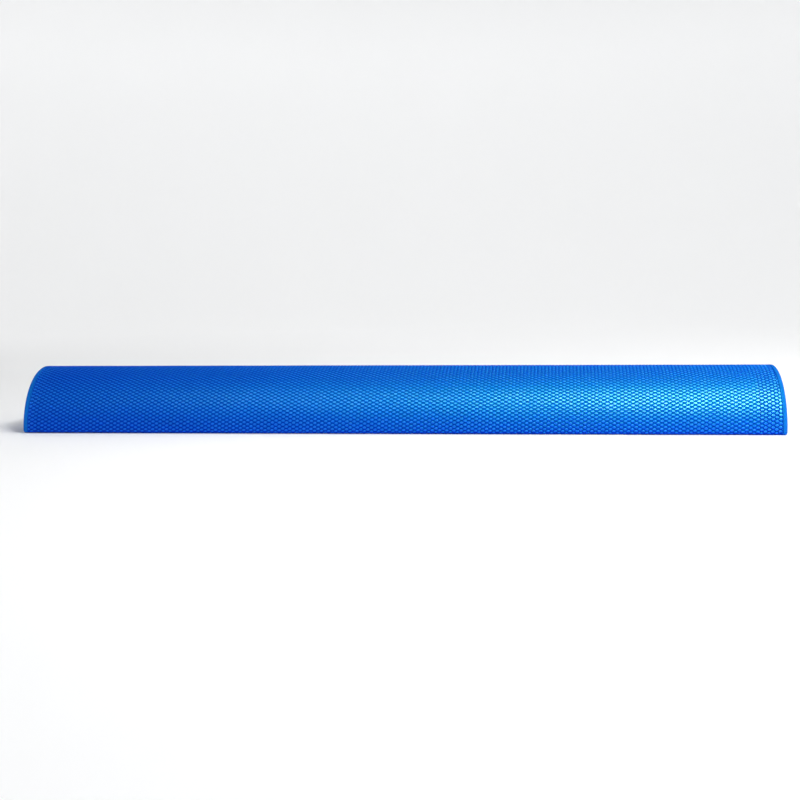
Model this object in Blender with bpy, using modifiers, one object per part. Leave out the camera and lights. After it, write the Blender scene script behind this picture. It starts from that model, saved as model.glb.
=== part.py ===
"""Half round foam roller: a half round bar of closed-cell foam with a facing sheet wrapped over
its round side, a flat base sheet let in underneath, and a rounded cap on each end.

Metres, +Z up, +X along the roller. The origin is the middle of the flat underside.
"""

import math

import bmesh
import bpy
from mathutils import Vector

# Whole roller
ROLLER_LENGTH = 0.9144
ROLLER_RADIUS = 0.0762
EDGE_ROUND = 0.004  # where the round side turns under to the flat side

# Facing sheet, the stock that both the wrapped cover and the base sheet are cut from
FACING_WALL = 0.003
INNER_ROUND = 0.0005  # least rounding left on the inside of the turned edges, however thick the sheet
HEM_WIDTH = 0.009  # flat strip of the cover that is turned under beside the base sheet
SHEET_EDGE_EASE = 0.0006

# End caps
CAP_WALL = 0.005
CAP_RIM_ROUND = 0.0022
RIM_LIMIT_SHARE = 0.8  # the most of the cap's wall, or of the long edges' rounding, that its rim takes

# Bond line between neighbours
SEAM_GAP = 0.0003

# How finely round stretches are divided
ARC_STEPS = 90
EDGE_STEPS = 7
RIM_STEPS = 5
EASE_STEPS = 2
SHARP_ABOVE = math.radians(30)

# Foam colours: red, green, blue, each linear
COVER_BLUE = (0.004, 0.165, 0.660)
CAP_BLUE = (0.004, 0.180, 0.690)
BASE_BLUE = (0.004, 0.150, 0.610)
CORE_BLUE = (0.010, 0.200, 0.680)

HALF_TURN = math.pi
QUARTER_TURN = math.pi / 2


def clear_scene():
    for old in list(bpy.data.objects):
        bpy.data.objects.remove(old, do_unlink=True)


def foam_material(name, colour, roughness):
    """Through-coloured foam with no metal in it."""
    material = bpy.data.materials.new(name)
    material.use_nodes = True
    shader = material.node_tree.nodes["Principled BSDF"]
    shader.inputs["Base Color"].default_value = (*colour, 1)
    shader.inputs["Roughness"].default_value = roughness
    shader.inputs["Metallic"].default_value = 0
    material.diffuse_color = (*colour, 1)
    return material


def edge_round(inset=0):
    """Radius of the long edges' rounding, on an outline that lies inset inside the roller's skin."""
    return max(EDGE_ROUND - inset, INNER_ROUND)


def edge_centre(inset=0):
    """Centre of the rounding at the +Y long edge: it touches the flat side and the big arc."""
    radius = edge_round(inset)
    height = inset + radius
    reach = ROLLER_RADIUS - inset - radius
    return Vector((math.sqrt(reach**2 - height**2), height))


def arc(centre, radius, first, last, steps):
    """Points on a round stretch from angle first to angle last, both ends included."""
    angles = [first + (last - first) * i / steps for i in range(steps + 1)]
    return [centre + radius * Vector((math.cos(a), math.sin(a))) for a in angles]


def half_round_path(inset):
    """(y, z) points from the +Y end of the flat side, over the crown, to its -Y end.

    Every point is set in from the roller's own skin by inset.
    """
    centre = edge_centre(inset)
    mirrored = Vector((-centre.x, centre.y))
    blend = math.atan2(centre.y, centre.x)
    radius = edge_round(inset)
    rising = arc(centre, radius, -QUARTER_TURN, blend, EDGE_STEPS)
    crown = arc(Vector((0, 0)), ROLLER_RADIUS - inset, blend, HALF_TURN - blend, ARC_STEPS)
    falling = arc(mirrored, radius, HALF_TURN - blend, HALF_TURN + QUARTER_TURN, EDGE_STEPS)
    return rising + crown[1:-1] + falling


def hem_end():
    """Distance from the middle line to the edge of the turned-under hem."""
    return edge_centre().x - HEM_WIDTH


def length_between_caps():
    return ROLLER_LENGTH - 2 * CAP_WALL - 2 * SEAM_GAP


def add_part(name, mesh, material, parent, collection):
    part = bpy.data.objects.new(name, mesh)
    mesh.materials.clear()
    mesh.materials.append(material)
    part.parent = parent
    collection.objects.link(part)
    return part


def shade_round(mesh):
    """Smooth over the fine steps of a curve, sharp at real corners."""
    mesh.shade_smooth()
    mesh.set_sharp_from_angle(angle=SHARP_ABOVE)


def ribbon_mesh(name, path, length):
    """An open surface: the path of (y, z) points swept along X, centred on X = 0."""
    shape = bmesh.new()
    points = [shape.verts.new((-length / 2, p.x, p.y)) for p in path]
    edges = [shape.edges.new(pair) for pair in zip(points, points[1:])]
    swept = bmesh.ops.extrude_edge_only(shape, edges=edges)["geom"]
    moved = [item for item in swept if isinstance(item, bmesh.types.BMVert)]
    bmesh.ops.translate(shape, verts=moved, vec=(length, 0, 0))
    bmesh.ops.recalc_face_normals(shape, faces=shape.faces)
    crown = max(shape.faces, key=lambda face: face.calc_center_median().z)
    if crown.normal.z < 0:
        bmesh.ops.reverse_faces(shape, faces=shape.faces)
    mesh = bpy.data.meshes.new(name)
    shape.to_mesh(mesh)
    shape.free()
    return mesh


def slab_mesh(name, outline, start, thickness):
    """A closed slab: the (y, z) outline filled at X = start and extruded by thickness along X."""
    shape = bmesh.new()
    face = shape.faces.new([shape.verts.new((start, p.x, p.y)) for p in outline])
    far = bmesh.ops.extrude_face_region(shape, geom=[face], use_keep_orig=True)["geom"]
    moved = [item for item in far if isinstance(item, bmesh.types.BMVert)]
    bmesh.ops.translate(shape, verts=moved, vec=(thickness, 0, 0))
    bmesh.ops.recalc_face_normals(shape, faces=shape.faces)
    mesh = bpy.data.meshes.new(name)
    shape.to_mesh(mesh)
    shape.free()
    return mesh


def make_core(parent, collection):
    """The bar itself, set in by the facing sheet all round and by the caps at its ends."""
    outline = half_round_path(FACING_WALL + SEAM_GAP)
    length = length_between_caps()
    mesh = slab_mesh("foam_core", outline, -length / 2, length)
    shade_round(mesh)
    return add_part("foam_core", mesh, foam_material("core foam", CORE_BLUE, 0.75), parent, collection)


def make_cover(parent, collection):
    """One sheet wrapped from hem to hem over the round side and both long edges."""
    over = half_round_path(0)
    hem = hem_end()
    path = [Vector((hem, 0)), *over, Vector((-hem, 0))]
    mesh = ribbon_mesh("textured_cover", path, length_between_caps())
    shade_round(mesh)
    cover = add_part(
        "textured_cover", mesh, foam_material("cover foam", COVER_BLUE, 0.45), parent, collection
    )
    wall = cover.modifiers.new("wall", "SOLIDIFY")
    wall.thickness = FACING_WALL
    wall.offset = -1
    wall.use_even_offset = True
    return cover


def make_base(parent, collection):
    """The flat sheet that fills the space between the two hems, flush with them."""
    width = 2 * hem_end() - 2 * SEAM_GAP
    size = Vector((length_between_caps(), width, FACING_WALL))
    shape = bmesh.new()
    bmesh.ops.create_cube(shape, size=1)
    bmesh.ops.scale(shape, vec=size, verts=shape.verts)
    mesh = bpy.data.meshes.new("base_sheet")
    shape.to_mesh(mesh)
    shape.free()
    base = add_part("base_sheet", mesh, foam_material("base foam", BASE_BLUE, 0.5), parent, collection)
    base.location = (0, 0, FACING_WALL / 2)
    ease = base.modifiers.new("eased edges", "BEVEL")
    ease.width = SHEET_EDGE_EASE
    ease.segments = EASE_STEPS
    ease.limit_method = "ANGLE"
    return base


def cap_mesh():
    """A half round plate on its seat at X = 0, with the edges of its outer rim marked for rounding."""
    mesh = slab_mesh("end_cap", half_round_path(0), 0, CAP_WALL)
    weights = mesh.attributes.new("bevel_weight_edge", "FLOAT", "EDGE")
    outer = [
        all(mesh.vertices[v].co.x > CAP_WALL / 2 for v in edge.vertices) for edge in mesh.edges
    ]
    weights.data.foreach_set("value", [float(is_outer) for is_outer in outer])
    shade_round(mesh)
    return mesh


def make_caps(parent, collection):
    """The same plate at both ends, turned about so that each rounded rim faces outwards."""
    mesh = cap_mesh()
    material = foam_material("cap foam", CAP_BLUE, 0.42)
    caps = []
    for name, side in (("right_end_cap", 1), ("left_end_cap", -1)):
        cap = add_part(name, mesh, material, parent, collection)
        cap.location = (side * (ROLLER_LENGTH / 2 - CAP_WALL), 0, 0)
        cap.rotation_euler = (0, 0, 0 if side > 0 else HALF_TURN)
        rim = cap.modifiers.new("rounded rim", "BEVEL")
        rim.limit_method = "WEIGHT"
        rim.width = min(CAP_RIM_ROUND, RIM_LIMIT_SHARE * CAP_WALL, RIM_LIMIT_SHARE * EDGE_ROUND)
        rim.segments = RIM_STEPS
        rim.use_clamp_overlap = False
        caps.append(cap)
    return caps


def main():
    clear_scene()
    collection = bpy.data.collections.new("half_round_foam_roller")
    bpy.context.scene.collection.children.link(collection)
    roller = bpy.data.objects.new("roller_origin", None)
    collection.objects.link(roller)
    make_core(roller, collection)
    make_cover(roller, collection)
    make_base(roller, collection)
    make_caps(roller, collection)


main()
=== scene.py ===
"""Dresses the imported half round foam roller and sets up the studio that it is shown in.

Laid out as a Blender add-on and run as a script. Lengths are metres in the roller's own frame:
+X along the roller, +Z up, the origin in the middle of its flat underside.
"""

import math

import bpy
import numpy as np
from bpy.props import FloatProperty, FloatVectorProperty, IntProperty, PointerProperty
from bpy.types import Operator, Panel, PropertyGroup
from mathutils import Matrix, Vector


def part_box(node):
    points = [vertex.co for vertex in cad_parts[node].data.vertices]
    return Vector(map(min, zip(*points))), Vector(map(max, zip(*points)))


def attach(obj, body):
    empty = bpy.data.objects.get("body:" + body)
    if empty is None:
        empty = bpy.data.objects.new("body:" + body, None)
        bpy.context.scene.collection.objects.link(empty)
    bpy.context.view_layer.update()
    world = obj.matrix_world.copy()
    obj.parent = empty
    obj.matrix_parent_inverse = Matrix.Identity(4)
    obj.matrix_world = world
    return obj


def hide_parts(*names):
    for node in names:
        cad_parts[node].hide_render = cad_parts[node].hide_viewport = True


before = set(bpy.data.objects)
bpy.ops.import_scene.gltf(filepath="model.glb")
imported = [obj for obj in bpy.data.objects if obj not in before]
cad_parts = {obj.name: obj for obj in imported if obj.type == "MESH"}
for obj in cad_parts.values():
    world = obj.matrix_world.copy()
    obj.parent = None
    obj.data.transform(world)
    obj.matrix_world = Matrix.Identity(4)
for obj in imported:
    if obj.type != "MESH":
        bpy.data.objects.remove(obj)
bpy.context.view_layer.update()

bl_info = {
    "name": "Half Round Foam Roller",
    "version": (1, 0, 0),
    "blender": (4, 5, 0),
    "location": "3D View > Sidebar > Foam Roller",
    "description": "Pressed diamond cover, base sheet, end caps and core of a half round foam roller",
    "category": "Add Mesh",
}

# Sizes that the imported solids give
_, COVER_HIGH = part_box("textured_cover")
BASE_LOW, BASE_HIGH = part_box("base_sheet")
CORE_LOW, CORE_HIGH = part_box("foam_core")
RIGHT_CAP_LOW, RIGHT_CAP_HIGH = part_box("right_end_cap")

RADIUS = COVER_HIGH.z
COVER_END = COVER_HIGH.x
SHEET_WALL = BASE_HIGH.z
SEAM_GAP = CORE_LOW.z - BASE_HIGH.z
HEM_END = BASE_HIGH.y + SEAM_GAP
CAP_SEAT = RIGHT_CAP_LOW.x
ROLLER_END = RIGHT_CAP_HIGH.x

HALF_PI = math.pi / 2
RANDOM_SEED = 36
SPREAD = 400  # cells each way that have draws of their own

# Three sines of the slow waves: pace, share along, share across and start
SLOW_SINES = ((1.0, 1.0, 0.4, 0.0), (0.61, 1.0, -1.3, 1.7), (1.7, 0.3, 1.0, 0.6))

# Shares and powers of the foam's patterns
MOTTLE_SHARE = 0.4  # strength of the small patches beside the clouds
MOTTLE_FINER = 9  # how many times smaller than the clouds they are
GRAIN_NOISE = 0.6  # noise in the grain beside its scattered points
GRAIN_MEAN = 0.8  # mean height of the grain, of which GRAIN_NOISE / 2 is noise
CLOUDY_GLOSS = 0.1  # how far the clouds change the roughness
CHANNEL_SHADE_POWER = 0.7  # how fast the channels' painted shade goes over to the skin's colour
TOP_POWER = 4.0  # how little of a diamond counts as its rubbed top
TOP_SHARE = 0.7  # how far the rubbed colour covers the tops
GLOSS_POWER = 2.0  # how fast the gloss falls from the tops to the channels
PATCH_GAIN = 10  # how much stronger the clouds are on the plain skins
CELL_POWER = 2.0  # how sharply the opened cells of cut foam stand out


def length(name, description, default):
    return FloatProperty(name=name, description=description, default=default, unit="LENGTH", precision=5)


def share(name, description, default):
    return FloatProperty(name=name, description=description, default=default, subtype="FACTOR", min=0, max=1)


def number(name, description, default):
    return FloatProperty(name=name, description=description, default=default)


def colour(name, description, default):
    return FloatVectorProperty(
        name=name, description=description, default=default, subtype="COLOR", size=3, min=0, max=1
    )


def place(name, description, default):
    return FloatVectorProperty(
        name=name, description=description, default=default, subtype="XYZ", unit="LENGTH", size=3
    )


class RollerForm(PropertyGroup):
    """Outline of the roller, shared by all its pieces."""

    edge_round: length("Edge round", "Radius at which the round side turns under", 0.004)
    rim_round: length("Rim round", "Rounding of the end caps' outer rims", 0.0022)
    face_dish: length("Face dish", "How far the middle of an end face lies behind its rim", 0.0004)
    sheet_ease: length("Sheet ease", "Rounding of the base sheet's edges", 0.0006)
    wave: length("Wave", "Height of the slow unevenness that foam skins have", 0.00012)
    wave_length: length("Wave length", "Distance between the slow waves", 0.09)


class DiamondPress(PropertyGroup):
    """Raised diamonds pressed into the cover, in staggered rows along the roller."""

    pitch_along: length("Pitch along", "Distance between diamonds in one row", 0.008567)
    pitch_round: length("Pitch round", "Distance round the skin between rows that line up", 0.004780)
    start_along: length("Start along", "Where the columns start, from the roller's middle", 0.00625)
    start_round: length("Start round", "Where the rows start, below the front edge", 0.00242)
    lean: number("Lean", "How far the columns slip along the roller for each unit round it", 0.0513)
    stretch: length("Stretch", "How far the pressing has pulled the columns at both ends", 0.0035)
    row_sway: length("Row sway", "How far the rows drift to and fro along the roller", 0.0042)
    row_sag: length("Row sag", "How far the rows drop towards both ends", 0.0020)
    depth: length("Depth", "Height of the diamonds above the channels", 0.0008)
    corner: number("Corner", "2 gives oval diamonds, less gives lozenges, and more gives blunter ones", 2.5)
    blunt: number("Blunt", "How far the diamonds' tips along the roller are cut short", 1.0)
    shoulder: share("Shoulder", "Share of a cell, from its middle out, where a diamond's slope starts", 0.73)
    foot: share("Foot", "Share of a cell, from its middle out, where a diamond's slope ends", 1.0)
    dome: share("Dome", "How far a diamond's shoulder lies below its middle, as a share of its height", 0.12)
    unevenness: share("Unevenness", "How much single diamonds differ in height", 0.08)
    tilt: share("Tilt", "How much single diamonds lean, as a share of their height", 0.03)
    gather: share("Gather", "How far grid lines move towards the slopes, as a share of a pitch", 0.07)
    fade: length("Fade", "Width of hem over which the diamonds are pressed flat", 0.005)
    margin: length("Margin", "Width of the plain pressed margin beside each end cap", 0.0002)
    margin_slope: length("Margin slope", "Width of the slope from the diamonds down to the margin", 0.0007)
    margin_level: share("Margin level", "Height of the margin, as a share of the diamonds' height", 0.5)
    steps: IntProperty(name="Steps", description="Grid steps in each pitch", default=8, min=4)


class FoamFinish(PropertyGroup):
    """Colours and surface of the closed-cell foam."""

    skin: colour("Skin", "Foam skin as moulded", (0.003, 0.050, 0.555))
    rubbed: colour("Rubbed", "Tops of the diamonds, where hands and floors rub", (0.009, 0.079, 0.61))
    # The channel colour is painted shade: darker than the skin where shade falls in the channels
    channel: colour("Channel", "Bottom of the channels between the diamonds", (0.0005, 0.0105, 0.315))
    plain: colour("Plain", "Plain skin of the end caps and the base sheet", (0.0035, 0.079, 0.39))
    handled: colour("Handled", "The palest patches of the plain skin", (0.0075, 0.125, 0.57))
    cut: colour("Cut", "Foam where it is cut open", (0.01, 0.2, 0.68))
    gloss_tint: colour("Gloss tint", "Colour of the light that the skin throws back", (0.0, 1.0, 0.7))
    gloss: share("Gloss", "How much light the skin throws back", 0.0132)
    plain_gloss: share("Plain gloss", "Gloss of the plain skins and of cut foam", 0.003)
    channel_gloss: share("Channel gloss", "Gloss of the channels, as a share of the tops'", 0.43)
    polish: share("Polish", "Clear shine on the very tops of the diamonds", 0.07)
    polish_roughness: share("Polish roughness", "Roughness of the clear shine", 0.3)
    top_roughness: share("Top roughness", "Roughness of the diamonds' tops", 0.46)
    channel_roughness: share("Channel roughness", "Roughness of the channels", 0.6)
    cap_roughness: share("Cap roughness", "Roughness of the plain skins", 0.7)
    cut_roughness: share("Cut roughness", "Roughness of cut foam", 0.85)
    grain: length("Grain", "Size of the fine leathery grain", 0.0006)
    grain_height: length("Grain height", "Height of the fine grain", 0.00002)
    plain_grain: length("Plain grain", "Size of the grain of the plain skins", 0.0011)
    plain_height: length("Plain grain height", "Height of the plain skins' grain", 0.0001)
    speckle: share("Speckle", "How much the plain skins' grain shows as a change of colour", 0.7)
    cell: length("Cell", "Size of the opened cells on cut foam", 0.0009)
    cell_depth: length("Cell depth", "Depth of the opened cells", 0.0002)
    cloud: length("Cloud", "Size of the cloudy colour patches", 0.045)
    cloud_share: share("Cloud share", "How strong the cloudy patches are", 0.10)


def softbox(name, label, at, aim, width, height, power, spread=180):
    """Settings of one softbox, as annotations for a property group."""
    return {
        f"{name}_place": place(f"{label} place", f"Where the {label.lower()} stands", at),
        f"{name}_aim": place(f"{label} aim", f"What the {label.lower()} points at", aim),
        f"{name}_width": length(f"{label} width", f"Width of the {label.lower()}", width),
        f"{name}_height": length(f"{label} height", f"Height of the {label.lower()}", height),
        f"{name}_power": FloatProperty(
            name=f"{label} power", description=f"Power of the {label.lower()}", default=power, unit="POWER"
        ),
        f"{name}_spread": FloatProperty(
            name=f"{label} spread", description=f"Beam of the {label.lower()}, which its grid narrows",
            default=math.radians(spread), subtype="ANGLE",
        ),
    }


class Studio(PropertyGroup):
    """Pale floor, soft lights and the camera."""

    __annotations__ = {
        **softbox("key", "Key softbox", (0.9, -0.6, 1.7), (0.3, 0, 0.04), 0.8, 0.5, 25.2),
        **softbox("shine", "Gloss card", (0.8, -0.83, 1.23), (0.4, 0, 0.04), 1.1, 1.0, 149, spread=90),
        **softbox("glance", "Side card", (-0.25, -0.83, 1.23), (0, 0, 0.04), 0.8, 0.9, 15.5, spread=90),
        **softbox("rim", "End softbox", (1.15, -0.45, 0.45), (0.457, 0, 0.04), 0.3, 0.3, 3.7),
        **softbox("top", "Top softbox", (0.5, 1.0, 2.3), (0.1, 0.6, 0), 2.4, 1.6, 24.1),
    }

    floor_colour: colour("Floor colour", "Paint of the floor and the wall", (0.92, 0.925, 0.93))
    floor_radius: length("Floor radius", "Radius of the flat floor", 2.6)
    sweep_radius: length("Sweep radius", "Radius of the curve from floor to wall", 1.2)
    wall_height: length("Wall height", "Height of the wall above the sweep", 2.0)
    wall_glow: number("Wall glow", "Strength of the light from the wall", 0.254)
    glow_near: length("Glow near", "Distance from the roller at which the floor starts to shine", 0.4)
    glow_far: length("Glow far", "Distance from which floor and wall shine with all their strength", 2.8)
    sky_colour: colour("Sky colour", "Colour of the light from the open top", (1.0, 1.0, 1.0))
    sky_strength: number("Sky strength", "Strength of the light from the open top", 0.0064)
    camera_place: place("Camera place", "Where the camera stands", (0.11479, -1.36846, 0.18542))
    camera_heading: FloatProperty(
        name="Camera heading", description="Turn to the left of straight ahead",
        default=math.radians(4.7724), subtype="ANGLE",
    )
    camera_drop: FloatProperty(
        name="Camera drop", description="Tilt below level", default=math.radians(6.3557), subtype="ANGLE"
    )
    camera_roll: FloatProperty(
        name="Camera roll", description="Turn about the line of sight",
        default=math.radians(-0.49816), subtype="ANGLE",
    )
    camera_lens: FloatProperty(
        name="Camera lens", description="Focal length on a 36 mm sensor", default=49.466, unit="CAMERA"
    )


# Shapes


def smooth_step(low, high, value):
    """Rises from 0 at low to 1 at high along 3u^2 - 2u^3."""
    u = np.clip((value - low) / (high - low), 0, 1)
    return u * u * (3 - 2 * u)


def slow_waves(along, across, wave_length):
    """Mean of three crossed sines of unlike lengths, between -1 and 1: the lie of a soft sheet."""
    turn = 2 * math.pi / wave_length
    sines = (np.sin(turn * pace * (u * along + v * across) + start) for pace, u, v, start in SLOW_SINES)
    return sum(sines) / len(SLOW_SINES)


class Outline:
    """Half round outline of the skin, walked by its arc length from the inner end of the -Y hem,
    out round the -Y edge, over the crown, round the +Y edge and back under to the +Y hem's inner end.

    It is mirrored about the crown. From the crown down, a distance q follows the big arc (radius R
    about the origin), then the edge round (radius r about its own centre) and then the flat hem.
    """

    def __init__(self, form, hem_end=HEM_END):
        self.r = form.edge_round
        reach = RADIUS - self.r
        self.centre_y = math.sqrt(reach**2 - self.r**2)
        self.blend = math.atan2(self.r, self.centre_y)
        self.crown = RADIUS * (HALF_PI - self.blend)
        self.turn = self.r * (HALF_PI + self.blend)
        self.hem = self.centre_y - hem_end
        self.half = self.crown + self.turn + self.hem
        self.total = 2 * self.half
        self.front = self.half - RADIUS * HALF_PI

    def at(self, walked, inset=0):
        """(y, z) and outward normal (y, z) at each walked distance, set in by inset along the normal."""
        side = np.sign(walked - self.half)
        down = np.abs(walked - self.half)
        on_crown = down < self.crown
        on_turn = down < self.crown + self.turn
        angle = np.where(on_crown, HALF_PI - down / RADIUS, self.blend - (down - self.crown) / self.r)
        angle = np.where(on_turn, angle, -HALF_PI)
        normal_y, normal_z = np.cos(angle), np.sin(angle)
        hem = np.clip(down - self.crown - self.turn, 0, None)
        y = np.where(on_crown, RADIUS * normal_y, self.centre_y + self.r * normal_y - hem)
        z = np.where(on_crown, RADIUS * normal_z, self.r + self.r * normal_z)
        return side * (y - inset * normal_y), z - inset * normal_z, side * normal_y, normal_z


def diamond_cells(press, along, walked, outline):
    """Column and row numbers of the diamond lattice at places on the flat sheet.

    column = (x + stretch u^2 - start - lean s) / pitch along, and
    row = (s + start + sway (u - u^3) - sag u^2) / pitch round,
    where u is x as a share of the half length and s is the distance from the front edge.
    """
    u = along / COVER_END
    s = walked - outline.front
    column = (along + press.stretch * u**2 - press.start_along - press.lean * s) / press.pitch_along
    row = (s + press.start_round + press.row_sway * (u - u**3) - press.row_sag * u**2) / press.pitch_round
    return column, row


def diamond_height(press, along, walked, outline):
    """Height of the pressed skin, from 0 in the channels to about 1 on the diamonds.

    With a and b the distances from a cell's middle across the two families of channels, each 1 at
    its channel, and c = blunt (a + b) / 2 along the roller, rho = (a^p + b^p + c^p)^(1/p). The height
    is (1 - dome rho^2 + tilt) times a smooth step down from shoulder to foot. Each diamond draws its
    own tilt, which is a plane, and a share of up to unevenness by which all of it is lower. Beside
    the end caps the height goes over to the margin's level, as one more smooth step, and along the
    hems it fades to 1.
    """
    column, row = diamond_cells(press, along, walked, outline)
    rising, falling = column + row, column - row
    cell_a, cell_b = np.rint(rising), np.rint(falling)
    a, b = 2 * (rising - cell_a), 2 * (falling - cell_b)
    reaches = (a, b, press.blunt * (a + b) / 2)
    rho = sum(np.abs(reach) ** press.corner for reach in reaches) ** (1 / press.corner)
    draws = np.random.default_rng(RANDOM_SEED).uniform(-1, 1, (3, 2 * SPREAD + 1, 2 * SPREAD + 1))
    lift, tilt_a, tilt_b = draws[:, cell_a.astype(int) + SPREAD, cell_b.astype(int) + SPREAD]
    top = 1 - press.dome * rho**2 + press.tilt * (tilt_a * a + tilt_b * b)
    height = top * (1 + press.unevenness * (lift - 1) / 2)
    height = height * (1 - smooth_step(press.shoulder, press.foot, rho))
    margin = smooth_step(press.margin, press.margin + press.margin_slope, COVER_END - np.abs(along))
    height = press.margin_level + (height - press.margin_level) * margin
    return 1 - (1 - height) * hem_share(press, walked, outline)


def hem_share(press, walked, outline):
    """0 at the hems' ends, where the skin is left smooth, and 1 past their width of fade."""
    return smooth_step(0, press.fade, np.minimum(walked, outline.total - walked))


def cover_rise(form, press, along, walked, outline):
    """How far the cover's skin lies outside the plain outline: nowhere more than 0."""
    lie = form.wave * (slow_waves(along, walked, form.wave_length) - 1) / 2
    pressed = press.depth * (1 - diamond_height(press, along, walked, outline))
    return lie * hem_share(press, walked, outline) - pressed


def lines_between_cuts(near, far, steps, finer=1):
    """Grid lines that follow the lattice between two cuts, and ease over to the cuts' own lines.

    near and far are the lattice numbers along each cut. A line's lattice number is
    a * near + b * far + c, and the three arrays a, b and c are returned, one value for each line.
    The lines that ease over lie finer times as close, because they cut the diamonds at a slant.
    """
    first, last = math.ceil(near.max()) + 1, math.floor(far.min()) - 1
    middle = np.arange(first * steps, last * steps + 1) / steps
    before = np.linspace(0, 1, math.ceil((first - near.min()) * steps * finer), endpoint=False)
    after = np.linspace(1, 0, math.ceil((far.max() - last) * steps * finer), endpoint=False)[::-1]
    a = np.concatenate([1 - before, np.zeros(len(middle) + len(after))])
    b = np.concatenate([np.zeros(len(before) + len(middle)), after])
    c = np.concatenate([first * before, middle, last * (1 - after)])
    return a, b, c


def sheet_grid(press, outline):
    """Places (along, walked) of the flat sheet's grid, one row of the arrays for each line along it.

    The grid's lines follow the lattice's columns and rows, so that channels run along its diagonals.
    With c its column or row number, each family of diagonals moves by gather * sin(2 pi c), which
    brings its lines from the diamonds' flat tops to their slopes. The places are found in rounds,
    each of which moves them by what their column and row numbers still lack.
    """

    def column_at(along, walked):
        return diamond_cells(press, along, walked, outline)[0]

    def row_at(along, walked):
        return diamond_cells(press, along, walked, outline)[1]

    samples, rounds, finer_at_ends = 99, 12, 3
    ends, hems = np.linspace(-COVER_END, COVER_END, samples), np.linspace(0, outline.total, samples)
    a, b, c = lines_between_cuts(
        column_at(-COVER_END, hems), column_at(COVER_END, hems), press.steps, finer_at_ends
    )
    d, e, f = lines_between_cuts(row_at(ends, 0), row_at(ends, outline.total), press.steps)
    d, e, f = d[:, None], e[:, None], f[:, None]
    along = np.zeros((len(d), 1)) + np.linspace(-COVER_END, COVER_END, len(a))
    walked = np.linspace(0, outline.total, len(d))[:, None] + np.zeros(len(a))
    for _ in range(rounds):
        column = a * column_at(-COVER_END, walked) + b * column_at(COVER_END, walked) + c
        row = d * row_at(along, 0) + e * row_at(along, outline.total) + f
        to_end = (COVER_END - np.abs(along)) / press.pitch_along
        to_hem = np.minimum(walked, outline.total - walked) / press.pitch_round
        gather = press.gather * np.clip(np.minimum(to_end, to_hem), 0, 1) / 2
        rising, falling = (gather * np.sin(2 * math.pi * n) for n in (column + row, column - row))
        column, row = column + rising + falling, row + rising - falling
        found_column, found_row = diamond_cells(press, along, walked, outline)
        along = along + (column - found_column) * press.pitch_along
        walked = walked + (row - found_row) * press.pitch_round
    along[:, 0], along[:, -1] = -COVER_END, COVER_END
    walked[0], walked[-1] = 0, outline.total
    return along, walked


def valley_triangles(index, height):
    """Two triangles for each cell of a grid of point numbers, split along its lower diagonal."""
    a, b, c, d = index[:-1, :-1], index[:-1, 1:], index[1:, 1:], index[1:, :-1]
    rising = (height[a] + height[c] < height[b] + height[d])[..., None]
    first = np.where(rising, np.stack([a, b, c], -1), np.stack([a, b, d], -1))
    second = np.where(rising, np.stack([a, c, d], -1), np.stack([b, c, d], -1))
    return np.concatenate([first.reshape(-1, 3), second.reshape(-1, 3)])


def cover_shell(form, press):
    """The pressed sheet wrapped over the outline, with its cut edges and its smooth inner side.

    Point = outline(walked) + rise * normal, and its normal is the outline's less the rise's slopes
    along and round the skin. Returns the points, the faces, each point's height, the outer rim's
    point numbers and the outer points' normals.
    """
    outline = Outline(form)
    along, walked = sheet_grid(press, outline)
    height = diamond_height(press, along, walked, outline)
    y, z, normal_y, normal_z = outline.at(walked)
    rise = cover_rise(form, press, along, walked, outline)
    outer = np.stack([along, y + rise * normal_y, z + rise * normal_z], -1).reshape(-1, 3)
    nudge = 2e-5
    slope_along, slope_round = (
        (cover_rise(form, press, along + dx, walked + dw, outline)
         - cover_rise(form, press, along - dx, walked - dw, outline)) / (2 * nudge)
        for dx, dw in ((nudge, 0), (0, nudge))
    )
    normals = np.stack(
        [-slope_along, normal_y + slope_round * -normal_z, normal_z + slope_round * normal_y], -1
    ).reshape(-1, 3)
    normals /= np.linalg.norm(normals, axis=1, keepdims=True)
    index = np.arange(along.size).reshape(along.shape)
    left, right = index[:, 0], index[:, -1]

    y, z, _, _ = outline.at(walked[:, 0], SHEET_WALL)
    inner = [np.stack([np.full(y.shape, end), y, z], -1) for end in (-COVER_END, COVER_END)]
    left_in = len(outer) + np.arange(len(y))
    right_in = left_in + len(y)
    quads = [
        np.stack([left[:-1], left[1:], left_in[1:], left_in[:-1]], -1),
        np.stack([right[:-1], right_in[:-1], right_in[1:], right[1:]], -1),
        np.stack([right_in[:-1], left_in[:-1], left_in[1:], right_in[1:]], -1),
    ]
    front_hem = np.concatenate([index[0, ::-1], [left_in[0], right_in[0]]])
    back_hem = np.concatenate([index[-1], [right_in[-1], left_in[-1]]])
    faces = [valley_triangles(index, height.ravel()), *quads, front_hem[None], back_hem[None]]
    rim = np.unique(np.concatenate([index[0], index[-1], left, right]))
    return np.concatenate([outer, *inner]), faces, np.append(height, np.zeros(2 * len(y))), rim, normals


def stacked_rings(rings):
    """Closed shell through a stack of rings of like counts, its two ends closed to a middle point."""
    count, around, _ = rings.shape
    index = np.arange(count * around).reshape(count, around)
    after = np.roll(index, -1, axis=1)
    sides = np.stack([index[:-1], after[:-1], after[1:], index[1:]], -1).reshape(-1, 4)
    start = np.stack([after[0], index[0], np.full(around, index.size)], -1)
    end = np.stack([index[-1], after[-1], np.full(around, index.size + 1)], -1)
    middles = rings[[0, -1]].mean(axis=1)
    return np.concatenate([rings.reshape(-1, 3), middles]), [sides, start, end]


def closed_outline(form, points, inset=0):
    """(y, z) round the whole half round outline with its flat side closed, by walked distance."""
    outline = Outline(form, hem_end=0)
    walked = np.linspace(0, outline.total, points, endpoint=False)
    y, z, _, _ = outline.at(walked, inset)
    return y, z


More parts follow.
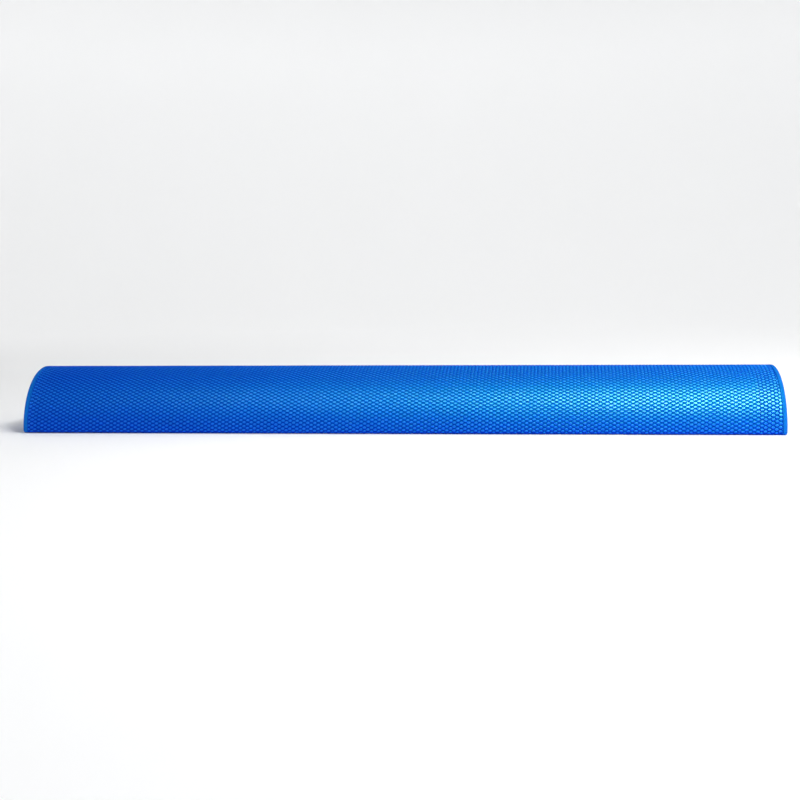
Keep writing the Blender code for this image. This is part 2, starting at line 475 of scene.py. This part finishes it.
def cap_shell(form, side):
    """One end cap: the outline carried along a profile that turns from its wall over to its face.

    Profile: a straight wall, a quarter round of radius rim_round, then rings that shrink to the
    middle of the half disc, at x = face - dish (1 - k^2)^2 for the share k of their full size, less
    slow waves that fade out at the rim.
    """
    around, rim_rings, face_rings = 420, 9, 16
    turn = np.linspace(0, HALF_PI, rim_rings + 1)[1:]
    rim = form.rim_round
    insets = np.concatenate([[0, 0], rim * (1 - np.cos(turn))])
    stations = np.concatenate([[CAP_SEAT, ROLLER_END - rim], ROLLER_END - rim + rim * np.sin(turn)])
    outlines = [closed_outline(form, around, inset) for inset in insets]
    wall = [np.stack([np.full(around, x), y, z], -1) for x, (y, z) in zip(stations, outlines)]
    rim_y, rim_z = outlines[-1]
    middle_z = RADIUS * 4 / (3 * math.pi)
    face = []
    for k in np.linspace(1, 0, face_rings, endpoint=False)[1:]:
        y, z = k * rim_y, middle_z + k * (rim_z - middle_z)
        lie = form.wave * (slow_waves(y, z, form.wave_length) - 1) / 2 * (1 - k**2)
        face.append(np.stack([ROLLER_END - form.face_dish * (1 - k**2) ** 2 + lie, y, z], -1))
    rings = np.stack(wall + face)
    rings[..., 0] *= side
    return stacked_rings(rings)


def eased_box_outline(half_width, low, high, radius, across, quarter):
    """(y, z) round a flat rectangle with rounded corners."""
    turn = np.linspace(0, HALF_PI, quarter)
    top_y = np.linspace(half_width - radius, radius - half_width, across)[1:-1]
    corner = np.stack([radius * np.cos(turn), radius * np.sin(turn)])
    middle_y, low_z, high_z = half_width - radius, low + radius, high - radius
    y = [middle_y + corner[0], top_y, -middle_y - corner[1]]
    y += [-middle_y - corner[0], -top_y, middle_y + corner[1]]
    z = [high_z + corner[1], np.full(len(top_y), high), high_z + corner[0]]
    z += [low_z - corner[1], np.full(len(top_y), low), low_z - corner[0]]
    return np.concatenate(y), np.concatenate(z)


def base_shell(form):
    """The base sheet: eased rectangles stacked along X, its upper side in slow waves.

    Its ends turn in by a quarter round that is squashed a little, so that corners keep some round.
    """
    across, quarter, along_steps = 70, 5, 240
    turn = np.linspace(0, HALF_PI, quarter)[:-1]
    ease = form.sheet_ease
    squash = 0.9
    end_insets = squash * ease * (1 - np.sin(turn))
    end_stations = BASE_HIGH.x - ease * (1 - np.cos(turn))
    middle = np.linspace(ease - BASE_HIGH.x, BASE_HIGH.x - ease, along_steps)
    stations = np.concatenate([-end_stations, middle, end_stations[::-1]])
    insets = np.concatenate([end_insets, np.zeros(along_steps), end_insets[::-1]])
    rings = []
    for x, inset in zip(stations, insets):
        y, z = eased_box_outline(
            BASE_HIGH.y - inset, BASE_LOW.z + inset, BASE_HIGH.z - inset, ease - inset, across, quarter
        )
        lie = form.wave * (slow_waves(np.full(y.shape, x), y, form.wave_length) - 1) / 2
        rings.append(np.stack([np.full(y.shape, x), y, z + np.where(z > BASE_HIGH.z - ease, lie, 0)], -1))
    return stacked_rings(np.stack(rings))


def core_shell(form):
    """The bar under the sheets: the outline set in by sheet and seam, with a slightly wavy sawn skin."""
    around, along_steps = 300, 220
    y, z = closed_outline(form, around, SHEET_WALL + SEAM_GAP)
    walked = np.linspace(0, 1, around, endpoint=False) * 2 * math.pi * RADIUS
    rings = []
    for x in np.linspace(CORE_LOW.x, CORE_HIGH.x, along_steps):
        lie = form.wave * (slow_waves(np.full(around, x), walked, form.wave_length) - 1) / 2
        kept = 1 + lie / RADIUS
        rings.append(np.stack([np.full(around, x), y * kept, CORE_LOW.z + (z - CORE_LOW.z) * kept], -1))
    return stacked_rings(np.stack(rings))


def piece(name, points, faces, material, rim=None, normals=None, sharp_above=math.radians(40)):
    """A mesh object in the scene. Faces are arrays of corners, turned to face out as one shell.

    Edges are sharp along the rim, if its point numbers are given, and else above an angle. The
    normals, if given, are those of the first group of faces.
    """
    if enclosed(points, faces) < 0:
        faces = [group[:, ::-1] for group in faces]
    mesh = bpy.data.meshes.new(name)
    counts = np.concatenate([np.full(len(group), group.shape[1]) for group in faces])
    corners = np.concatenate([group.ravel() for group in faces])
    mesh.vertices.add(len(points))
    mesh.vertices.foreach_set("co", points.astype(np.float32).ravel())
    mesh.loops.add(len(corners))
    mesh.loops.foreach_set("vertex_index", corners.astype(np.int32))
    mesh.polygons.add(len(counts))
    mesh.polygons.foreach_set("loop_start", (np.cumsum(counts) - counts).astype(np.int32))
    mesh.update(calc_edges=True)
    if mesh.validate():
        raise RuntimeError(f"{name} has faulty faces")
    mesh.shade_smooth()
    if rim is None:
        mesh.set_sharp_from_angle(angle=sharp_above)
    else:
        mark_sharp(mesh, rim)
    if normals is not None:
        of_corners = np.zeros((len(corners), 3))
        of_corners[: faces[0].size] = normals[faces[0].ravel()]
        mesh.normals_split_custom_set(of_corners)
    mesh.materials.append(material)
    made = bpy.data.objects.new(name, mesh)
    bpy.context.scene.collection.objects.link(made)
    return made


def mark_sharp(mesh, rim):
    """Edges with both ends on the rim become sharp."""
    on_rim = np.zeros(len(mesh.vertices), bool)
    on_rim[rim] = True
    ends = np.empty(2 * len(mesh.edges), np.int32)
    mesh.edges.foreach_get("vertices", ends)
    sharp = mesh.attributes.new("sharp_edge", "BOOLEAN", "EDGE")
    sharp.data.foreach_set("value", on_rim[ends.reshape(-1, 2)].all(axis=1))


def enclosed(points, faces):
    """Six times the signed volume inside the faces, as fans of triangles: above 0 if they face out."""
    total = 0.0
    for group in faces:
        first = points[group[:, 0]]
        for k in range(1, group.shape[1] - 1):
            total += np.einsum("ij,ij->", first, np.cross(points[group[:, k]], points[group[:, k + 1]]))
    return total


def dress(made, node):
    """The piece stands for its solid, which is hidden, and rides on the roller."""
    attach(made, "root")
    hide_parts(node)


# Materials


class Value:
    """A number in a shader. Python's operators on it add Math nodes."""

    def __init__(self, nodes, socket):
        self.nodes, self.socket = nodes, socket

    def maths(self, operation, *inputs):
        return self.nodes.add("ShaderNodeMath", {"operation": operation}, *inputs)

    def __add__(self, other):
        return self.maths("ADD", self, other)

    def __radd__(self, other):
        return self.maths("ADD", other, self)

    def __sub__(self, other):
        return self.maths("SUBTRACT", self, other)

    def __rsub__(self, other):
        return self.maths("SUBTRACT", other, self)

    def __mul__(self, other):
        return self.maths("MULTIPLY", self, other)

    def __rmul__(self, other):
        return self.maths("MULTIPLY", other, self)

    def __pow__(self, power):
        return self.maths("POWER", self, power)


class Nodes:
    """Builds one material's node tree."""

    def __init__(self, name):
        self.material = bpy.data.materials.new(name)
        self.material.use_nodes = True
        self.tree = self.material.node_tree
        self.shader = self.tree.nodes["Principled BSDF"]
        self.surface = self.tree.nodes["Material Output"].inputs["Surface"]

    def add(self, kind, settings, *inputs, output=0, **named):
        """A node of this kind, with its settings, then its inputs by order or by name."""
        node = self.tree.nodes.new(kind)
        for key, value in settings.items():
            setattr(node, key, value)
        for key, value in [*enumerate(inputs), *named.items()]:
            self.put(node.inputs[key.replace("_", " ") if isinstance(key, str) else key], value)
        return Value(self, node.outputs[output])

    def put(self, socket, value):
        if isinstance(value, Value):
            self.tree.links.new(value.socket, socket)
        else:
            socket.default_value = value

    def blend(self, factor, first, second):
        """Colour mix: first at factor 0, second at 1."""
        mix = self.tree.nodes.new("ShaderNodeMix")
        mix.data_type = "RGBA"
        for name, value in (("Factor_Float", factor), ("A_Color", first), ("B_Color", second)):
            socket = next(s for s in mix.inputs if s.identifier == name)
            self.put(socket, value if isinstance(value, Value | float) else (*value, 1))
        return Value(self, next(s for s in mix.outputs if s.identifier == "Result_Color"))

    def places(self):
        return self.add("ShaderNodeTexCoord", {}, output="Object")

    def noise(self, places, size, detail=3, roughness=0.5):
        """Cloudy noise from 0 to 1 with features of this size."""
        return self.add(
            "ShaderNodeTexNoise", {}, Vector=places, Scale=1 / size, Detail=detail, Roughness=roughness
        )

    def cells(self, places, size):
        """Distance to the nearest of scattered points that lie about this far apart."""
        return self.add("ShaderNodeTexVoronoi", {}, Vector=places, Scale=1 / size)

    def attribute(self, name):
        return self.add("ShaderNodeAttribute", {"attribute_name": name}, output="Fac")

    def bump(self, height, distance):
        """Normal of a surface raised by height times distance."""
        return self.add("ShaderNodeBump", {}, Height=height, Distance=distance, Strength=1.0)


def foam(name, finish):
    """Starts a foam's nodes: its places and a cloudy shade about 0."""
    nodes = Nodes(name)
    places = nodes.places()
    clouds = nodes.noise(places, finish.cloud) - 0.5
    mottle = nodes.noise(places, finish.cloud / MOTTLE_FINER, detail=2) - 0.5
    return nodes, places, clouds + MOTTLE_SHARE * mottle


def leathery(nodes, places, size):
    """Height of a leathery grain: distance to the nearest scattered point, and some noise."""
    return nodes.cells(places, size) + GRAIN_NOISE * nodes.noise(places, size, detail=2)


def finished(nodes, finish, tone, roughness, normal, gloss, polish=0.0):
    """Puts a foam's looks on its shader and mixes a tinted gloss in, as a share that may vary.

    A plain gloss turns white where it is seen at a low angle, and the foam's stays blue.
    """
    body = nodes.shader.inputs
    nodes.put(body["Base Color"], tone)
    nodes.put(body["Roughness"], roughness)
    nodes.put(body["Normal"], normal)
    nodes.put(body["Coat Weight"], polish)
    body["Coat Roughness"].default_value = finish.polish_roughness
    body["Specular IOR Level"].default_value = 0
    tint = (*finish.gloss_tint, 1)
    shine = nodes.add("ShaderNodeBsdfAnisotropic", {}, Color=tint, Roughness=roughness, Normal=normal)
    under = Value(nodes, nodes.shader.outputs["BSDF"])
    nodes.put(nodes.surface, nodes.add("ShaderNodeMixShader", {}, gloss, under, shine))
    return nodes.material


def cover_foam(finish):
    """Cover: darkened by painted shade in the channels, clearer and glossier on the rubbed tops of the
    diamonds.
    """
    nodes, places, shade = foam("cover foam", finish)
    height = nodes.attribute("press_height")
    # Painted shade: the channels' dark colour fades to the skin's as the diamonds rise
    body = nodes.blend(height**CHANNEL_SHADE_POWER, finish.channel, finish.skin)
    top = height**TOP_POWER
    tone = nodes.blend(top * (TOP_SHARE + finish.cloud_share * shade), body, finish.rubbed)
    drop = finish.channel_roughness - finish.top_roughness
    roughness = finish.channel_roughness - drop * height + CLOUDY_GLOSS * shade
    top_gloss = (1 - finish.channel_gloss) * height**GLOSS_POWER
    gloss = finish.gloss * (finish.channel_gloss + top_gloss)
    normal = nodes.bump(leathery(nodes, places, finish.grain), finish.grain_height)
    return finished(nodes, finish, tone, roughness, normal, gloss, finish.polish * top)


def plain_foam(finish):
    """Plain skin of the end caps and the base sheet, with lighter clouds where it has been handled."""
    nodes, places, shade = foam("plain foam skin", finish)
    grain = leathery(nodes, places, finish.plain_grain)
    speckle = finish.speckle * (grain - GRAIN_MEAN)
    patches = PATCH_GAIN * finish.cloud_share * shade
    tone = nodes.blend(0.5 + patches + speckle, finish.plain, finish.handled)
    roughness = finish.cap_roughness + CLOUDY_GLOSS * shade
    normal = nodes.bump(grain, finish.plain_height)
    return finished(nodes, finish, tone, roughness, normal, finish.plain_gloss)


def cut_foam(finish):
    """Sawn foam of the core: opened cells over cloudy colour."""
    nodes, places, shade = foam("cut foam", finish)
    cells = nodes.cells(places, finish.cell)
    tone = nodes.blend(cells**CELL_POWER + finish.cloud_share * shade, finish.skin, finish.cut)
    roughness = finish.cut_roughness + CLOUDY_GLOSS / 2 * shade
    normal = nodes.bump(cells, finish.cell_depth)
    return finished(nodes, finish, tone, roughness, normal, finish.plain_gloss)


def floor_paint(studio):
    """Matte pale paint of the studio floor and wall, which glows with painted light, its own emission, far
    from the roller.
    """
    cloud_size, darkest, roughness, shine = 0.8, 0.985, 0.7, 0.2
    nodes = Nodes("floor paint")
    places = nodes.places()
    clouds = nodes.noise(places, cloud_size)
    away = nodes.add("ShaderNodeVectorMath", {"operation": "LENGTH"}, places, output="Value")
    lit = nodes.add(
        "ShaderNodeMapRange", {"interpolation_type": "SMOOTHSTEP"},
        Value=away, From_Min=studio.glow_near, From_Max=studio.glow_far,
    )
    # Painted light: the floor and wall emit more the further they lie from the roller
    nodes.put(nodes.shader.inputs["Emission Color"], nodes.blend(lit, (0, 0, 0), (1, 1, 1)))
    nodes.shader.inputs["Emission Strength"].default_value = studio.wall_glow
    tone = nodes.blend(clouds, studio.floor_colour, [darkest * c for c in studio.floor_colour])
    nodes.put(nodes.shader.inputs["Base Color"], tone)
    nodes.shader.inputs["Roughness"].default_value = roughness
    nodes.shader.inputs["Specular IOR Level"].default_value = shine
    return nodes.material


# Operators


class ROLLER_OT_core(Operator):
    """Makes the core of cut foam under the sheets"""

    bl_idname = "foam_roller.core"
    bl_label = "Core"

    def execute(self, context):
        settings = context.scene
        points, faces = core_shell(settings.roller_form)
        made = piece("core_of_cut_foam", points, faces, cut_foam(settings.foam_finish))
        dress(made, "foam_core")
        return {"FINISHED"}


class ROLLER_OT_cover(Operator):
    """Makes the cover with its pressed diamonds"""

    bl_idname = "foam_roller.cover"
    bl_label = "Diamond Cover"

    def execute(self, context):
        settings = context.scene
        points, faces, heights, rim, normals = cover_shell(settings.roller_form, settings.diamond_press)
        made = piece("diamond_cover", points, faces, cover_foam(settings.foam_finish), rim, normals)
        # The heights also set the channels' painted shade and the cover's gloss
        pressed = made.data.attributes.new("press_height", "FLOAT", "POINT")
        pressed.data.foreach_set("value", heights.astype(np.float32))
        dress(made, "textured_cover")
        return {"FINISHED"}


class ROLLER_OT_base(Operator):
    """Makes the smooth sheet of the flat underside"""

    bl_idname = "foam_roller.base"
    bl_label = "Base Sheet"

    def execute(self, context):
        settings = context.scene
        points, faces = base_shell(settings.roller_form)
        made = piece("smooth_base_sheet", points, faces, plain_foam(settings.foam_finish))
        dress(made, "base_sheet")
        return {"FINISHED"}


class ROLLER_OT_caps(Operator):
    """Makes the two plain end caps with their rounded rims"""

    bl_idname = "foam_roller.caps"
    bl_label = "End Caps"

    def execute(self, context):
        settings = context.scene
        material = plain_foam(settings.foam_finish)
        for side, name in ((-1, "left_end_cap"), (1, "right_end_cap")):
            points, faces = cap_shell(settings.roller_form, side)
            made = piece(f"rounded_{name}", points, faces, material)
            dress(made, name)
        return {"FINISHED"}


class ROLLER_OT_studio(Operator):
    """Makes the pale floor, the soft lights and the camera"""

    bl_idname = "foam_roller.studio"
    bl_label = "Studio"

    def execute(self, context):
        studio = context.scene.studio
        make_floor(studio)
        make_lights(studio)
        make_sky(context.scene, studio)
        make_camera(context.scene, studio)
        return {"FINISHED"}


def make_floor(studio):
    """A round floor that sweeps up to a wall: a profile turned about Z."""
    around, flat_rings, sweep_rings, wall_rings = 128, 24, 24, 8
    below = SEAM_GAP
    turn = np.linspace(0, HALF_PI, sweep_rings)
    outer = studio.floor_radius + studio.sweep_radius
    flat = np.linspace(0, studio.floor_radius, flat_rings + 1)[1:-1]
    radius = np.concatenate(
        [flat, studio.floor_radius + studio.sweep_radius * np.sin(turn), np.full(wall_rings, outer)]
    )
    wall = studio.sweep_radius + np.linspace(0, studio.wall_height, wall_rings + 1)[1:]
    height = np.concatenate([np.zeros(len(flat)), studio.sweep_radius * (1 - np.cos(turn)), wall]) - below
    angle = np.linspace(0, 2 * math.pi, around, endpoint=False)
    x, y = radius[:, None] * np.cos(angle), radius[:, None] * np.sin(angle)
    points, (sides, start, _) = stacked_rings(np.stack([x, y, height[:, None] + np.zeros(around)], -1))
    floor = piece("studio_floor", points[:-1], [sides, start], floor_paint(studio))
    # The bowl is open at the top, so piece() can't tell which way it faces
    if floor.data.polygons[0].normal.z < 0:
        floor.data.flip_normals()


def make_lights(studio):
    """The two cards only show in the foam's gloss, as bright strips in a darker softbox would."""
    for name in ("key", "rim", "top", "shine", "glance"):
        at, aim = (Vector(getattr(studio, f"{name}_{word}")) for word in ("place", "aim"))
        light = bpy.data.lights.new(f"{name}_softbox", "AREA")
        light.shape = "RECTANGLE"
        light.size = getattr(studio, f"{name}_width")
        light.size_y = getattr(studio, f"{name}_height")
        light.energy = getattr(studio, f"{name}_power")
        light.spread = getattr(studio, f"{name}_spread")
        box = bpy.data.objects.new(light.name, light)
        box.location = at
        box.rotation_euler = (aim - at).to_track_quat("-Z", "Y").to_euler()
        box.visible_camera = False
        box.visible_diffuse = name not in ("shine", "glance")
        bpy.context.scene.collection.objects.link(box)


def make_sky(scene, studio):
    world = bpy.data.worlds.new("studio sky")
    world.use_nodes = True
    sky = world.node_tree.nodes["Background"].inputs
    sky["Color"].default_value = (*studio.sky_colour, 1)
    sky["Strength"].default_value = studio.sky_strength
    scene.world = world


def make_camera(scene, studio):
    """Camera from its heading, drop and roll: right, up and backward axes as matrix columns."""
    heading, drop, roll = -studio.camera_heading, studio.camera_drop, studio.camera_roll
    forward = Vector(
        (math.sin(heading) * math.cos(drop), math.cos(heading) * math.cos(drop), -math.sin(drop))
    )
    level = Vector((math.cos(heading), -math.sin(heading), 0))
    up = level.cross(forward)
    right_axis = math.cos(roll) * level + math.sin(roll) * up
    up_axis = math.cos(roll) * up - math.sin(roll) * level
    turned = Matrix((right_axis, up_axis, -forward)).transposed().to_4x4()
    lens = bpy.data.cameras.new("studio_camera")
    lens.lens = studio.camera_lens
    camera = bpy.data.objects.new("studio_camera", lens)
    camera.matrix_world = Matrix.Translation(studio.camera_place) @ turned
    scene.collection.objects.link(camera)
    scene.camera = camera
    scene.view_settings.view_transform = "Standard"


class ROLLER_PT_panel(Panel):
    """Lists the roller's pieces and their settings"""

    bl_idname = "ROLLER_PT_panel"
    bl_label = "Foam Roller"
    bl_space_type = "VIEW_3D"
    bl_region_type = "UI"
    bl_category = "Foam Roller"

    def draw(self, context):
        for step in STEPS:
            self.layout.operator(step.bl_idname)
        for name in GROUPS:
            box = self.layout.box()
            settings = getattr(context.scene, name)
            box.label(text=name.replace("_", " ").capitalize())
            for key in settings.bl_rna.properties.keys():
                if key not in ("rna_type", "name"):
                    box.prop(settings, key)


GROUPS = {
    "roller_form": RollerForm,
    "diamond_press": DiamondPress,
    "foam_finish": FoamFinish,
    "studio": Studio,
}
STEPS = (ROLLER_OT_core, ROLLER_OT_cover, ROLLER_OT_base, ROLLER_OT_caps, ROLLER_OT_studio)


def register():
    for kind in (*GROUPS.values(), *STEPS, ROLLER_PT_panel):
        bpy.utils.register_class(kind)
    for name, kind in GROUPS.items():
        setattr(bpy.types.Scene, name, PointerProperty(type=kind))


def unregister():
    for name in GROUPS:
        delattr(bpy.types.Scene, name)
    for kind in (ROLLER_PT_panel, *reversed(STEPS), *reversed(GROUPS.values())):
        bpy.utils.unregister_class(kind)


def main():
    register()
    bpy.ops.foam_roller.core()
    bpy.ops.foam_roller.cover()
    bpy.ops.foam_roller.base()
    bpy.ops.foam_roller.caps()
    bpy.ops.foam_roller.studio()


if __name__ == "__main__":
    main()
